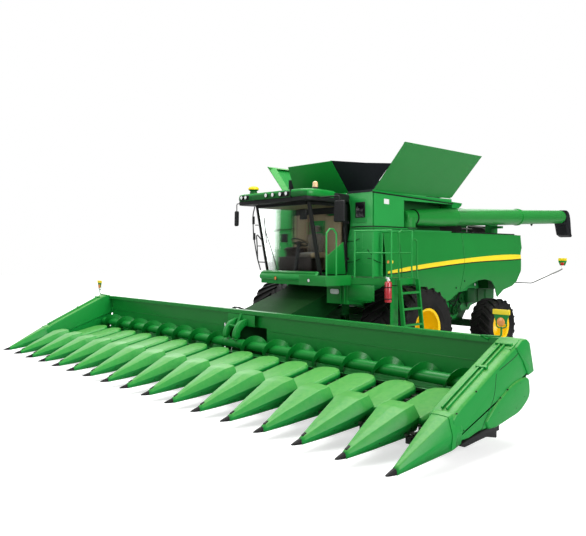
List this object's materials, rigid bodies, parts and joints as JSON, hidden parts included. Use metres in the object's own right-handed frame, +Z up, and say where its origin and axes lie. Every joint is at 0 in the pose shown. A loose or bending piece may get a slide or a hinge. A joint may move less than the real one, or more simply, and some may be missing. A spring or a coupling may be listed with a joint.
{
  "type": "combine harvester",
  "caption": "Self-propelled grain harvester with a folding-cover grain tank, stowed unloading auger and a wide row-crop corn header.",
  "frame": {"origin": "on the ground, on the centre line, under the middle of the machine's length from snout tips to unloading spout", "axes": "+X to the machine's left, +Y to its rear, +Z up; it drives towards -Y"},
  "size_m": [12.576, 14.3, 4.8369],
  "materials": {
    "green_paint": "gloss",
    "green_plastic": "gloss",
    "yellow_paint": "satin",
    "black_paint": "satin",
    "red_paint": "gloss",
    "bright_steel": "polished",
    "cast_engine": "rough",
    "tyre_rubber": "matte",
    "soft_rubber": "matte",
    "black_plastic": "matte",
    "yellow_plastic": "gloss",
    "amber_plastic": "gloss",
    "lamp_plastic": "gloss",
    "seat_cloth": "matte",
    "clear_glass": "polished"
  },
  "bodies": {
    "chassis": {"chassis_frame": "green_paint", "threshing_body": "green_paint", "engine_block": "cast_engine", "rear_hood": "green_paint", "grain_tank": "green_paint", "front_axle": "green_paint", "rear_axle": "green_paint", "cab_shell": "green_paint", "cab_roof": "green_plastic", "cab_glass": "clear_glass", "seat": "seat_cloth", "seat_base": "black_plastic", "steering_column": "black_plastic", "lamps": "lamp_plastic", "beacon": "amber_plastic", "receiver": "yellow_plastic", "mirrors": "black_plastic", "platform": "green_paint", "fire_extinguisher": "red_paint", "auger_turret": "green_paint", "rear_marker": "green_paint", "rear_hitch": "black_paint"},
    "front_left_wheel": {"front_left_tyre": "tyre_rubber", "front_left_rim": "yellow_paint"},
    "front_right_wheel": {"front_right_tyre": "tyre_rubber", "front_right_rim": "yellow_paint"},
    "left_knuckle_arm": {"left_knuckle": "green_paint"},
    "right_knuckle_arm": {"right_knuckle": "green_paint"},
    "rear_left_wheel": {"rear_left_tyre": "tyre_rubber", "rear_left_rim": "yellow_paint"},
    "rear_right_wheel": {"rear_right_tyre": "tyre_rubber", "rear_right_rim": "yellow_paint"},
    "feeder": {"feeder_house": "green_paint", "header_frame": "green_paint", "row_units": "green_paint", "snouts": "green_plastic", "row_hoods": "green_plastic", "snout_tips": "soft_rubber", "end_dividers": "green_plastic", "header_markers": "green_paint"},
    "cross_auger": {"header_auger": "green_paint"},
    "barrels": {"lift_barrels": "black_paint"},
    "rods": {"lift_rods": "bright_steel"},
    "unloader": {"unloading_auger": "green_paint", "spout_boot": "soft_rubber"},
    "left_lid": {"left_cover": "green_paint", "left_rubber": "soft_rubber"},
    "right_lid": {"right_cover": "green_paint", "right_rubber": "soft_rubber"},
    "front_lid": {"front_cover": "green_paint", "front_rubber": "soft_rubber"},
    "rear_lid": {"rear_cover": "green_paint", "rear_rubber": "soft_rubber"},
    "door": {"cab_door": "black_paint", "door_glass": "clear_glass"},
    "boarding_ladder": {"ladder": "green_paint"},
    "front_left_panel": {"front_left_shield": "green_plastic"},
    "front_right_panel": {"front_right_shield": "green_plastic"},
    "rear_left_panel": {"rear_left_shield": "green_plastic"},
    "rear_right_panel": {"rear_right_shield": "green_plastic"}
  },
  "joints": [
    {"name": "front_left_wheel_spin", "type": "hinge", "parent": "chassis", "child": "front_left_wheel", "pos_m": [1.9, -1.26, 0.92], "axis": [1, 0, 0], "continuous": true},
    {"name": "front_right_wheel_spin", "type": "hinge", "parent": "chassis", "child": "front_right_wheel", "pos_m": [-1.9, -1.26, 0.92], "axis": [1, 0, 0], "continuous": true},
    {"name": "left_steer", "type": "hinge", "parent": "chassis", "child": "left_knuckle_arm", "pos_m": [1.5, 2.415, 0.69], "axis": [0, 0, 1], "range_deg": [-30, 30]},
    {"name": "right_steer", "type": "hinge", "parent": "chassis", "child": "right_knuckle_arm", "pos_m": [-1.5, 2.415, 0.69], "axis": [0, 0, 1], "range_deg": [-30, 30]},
    {"name": "rear_left_wheel_spin", "type": "hinge", "parent": "left_knuckle_arm", "child": "rear_left_wheel", "pos_m": [1.87, 2.415, 0.69], "axis": [1, 0, 0], "continuous": true},
    {"name": "rear_right_wheel_spin", "type": "hinge", "parent": "right_knuckle_arm", "child": "rear_right_wheel", "pos_m": [-1.87, 2.415, 0.69], "axis": [1, 0, 0], "continuous": true},
    {"name": "feeder_lift", "type": "hinge", "parent": "chassis", "child": "feeder", "pos_m": [0, -2.15, 1.75], "axis": [-1, 0, 0], "range_deg": [0, 14]},
    {"name": "cross_auger_spin", "type": "hinge", "parent": "feeder", "child": "cross_auger", "pos_m": [0, -4.55, 0.7], "axis": [1, 0, 0], "continuous": true},
    {"name": "lift_barrel_pivot", "type": "hinge", "parent": "chassis", "child": "barrels", "pos_m": [0, -1.73, 1], "axis": [-1, 0, 0], "range_deg": [-1, 12.5]},
    {"name": "lift_rod_slide", "type": "slide", "parent": "barrels", "child": "rods", "axis": [0, -0.9731, -0.2305], "range_m": [0, 0.21]},
    {"name": "unloader_swing", "type": "hinge", "parent": "chassis", "child": "unloader", "pos_m": [1.5, -0.73, 3.35], "axis": [0, 0, -1], "range_deg": [0, 90]},
    {"name": "left_lid_fold", "type": "hinge", "parent": "chassis", "child": "left_lid", "pos_m": [1.585, -0.556, 3.905], "axis": [0, -1, 0], "range_deg": [0, 130], "deforming": ["left_rubber"]},
    {"name": "right_lid_fold", "type": "hinge", "parent": "chassis", "child": "right_lid", "pos_m": [-1.585, -0.556, 3.905], "axis": [0, 1, 0], "range_deg": [0, 130], "deforming": ["right_rubber"]},
    {"name": "front_lid_fold", "type": "hinge", "parent": "chassis", "child": "front_lid", "pos_m": [0, -2.005, 3.885], "axis": [-1, 0, 0], "range_deg": [0, 119.5], "deforming": ["front_rubber"]},
    {"name": "rear_lid_fold", "type": "hinge", "parent": "chassis", "child": "rear_lid", "pos_m": [0, 0.893, 3.885], "axis": [1, 0, 0], "range_deg": [0, 119.5], "deforming": ["rear_rubber"]},
    {"name": "door_swing", "type": "hinge", "parent": "chassis", "child": "door", "pos_m": [0.94, -2.11, 2.8], "axis": [0, 0, 1], "range_deg": [0, 60]},
    {"name": "ladder_swing", "type": "hinge", "parent": "chassis", "child": "boarding_ladder", "pos_m": [2.6, -2.45, 1.5], "axis": [0, 0, -1], "range_deg": [0, 90]},
    {"name": "front_left_panel_lift", "type": "hinge", "parent": "chassis", "child": "front_left_panel", "pos_m": [1.62, -0.15, 3.078], "axis": [0, -1, 0], "range_deg": [0, 65]},
    {"name": "rear_left_panel_lift", "type": "hinge", "parent": "chassis", "child": "rear_left_panel", "pos_m": [1.62, 2.35, 3.078], "axis": [0, -1, 0], "range_deg": [0, 65]},
    {"name": "front_right_panel_lift", "type": "hinge", "parent": "chassis", "child": "front_right_panel", "pos_m": [-1.62, -0.15, 3.078], "axis": [0, 1, 0], "range_deg": [0, 65]},
    {"name": "rear_right_panel_lift", "type": "hinge", "parent": "chassis", "child": "rear_right_panel", "pos_m": [-1.62, 2.35, 3.078], "axis": [0, 1, 0], "range_deg": [0, 65]}
  ],
  "couplings": [
    {"joint": "right_steer", "follows": "left_steer", "ratio": 1},
    {"joint": "lift_barrel_pivot", "follows": "feeder_lift", "ratio": 0.8093},
    {"joint": "lift_rod_slide", "follows": "feeder_lift", "m_per_rad": 0.7972},
    {"joint": "right_lid_fold", "follows": "left_lid_fold", "ratio": 1},
    {"joint": "front_lid_fold", "follows": "left_lid_fold", "ratio": 0.9192},
    {"joint": "rear_lid_fold", "follows": "left_lid_fold", "ratio": 0.9192}
  ]
}
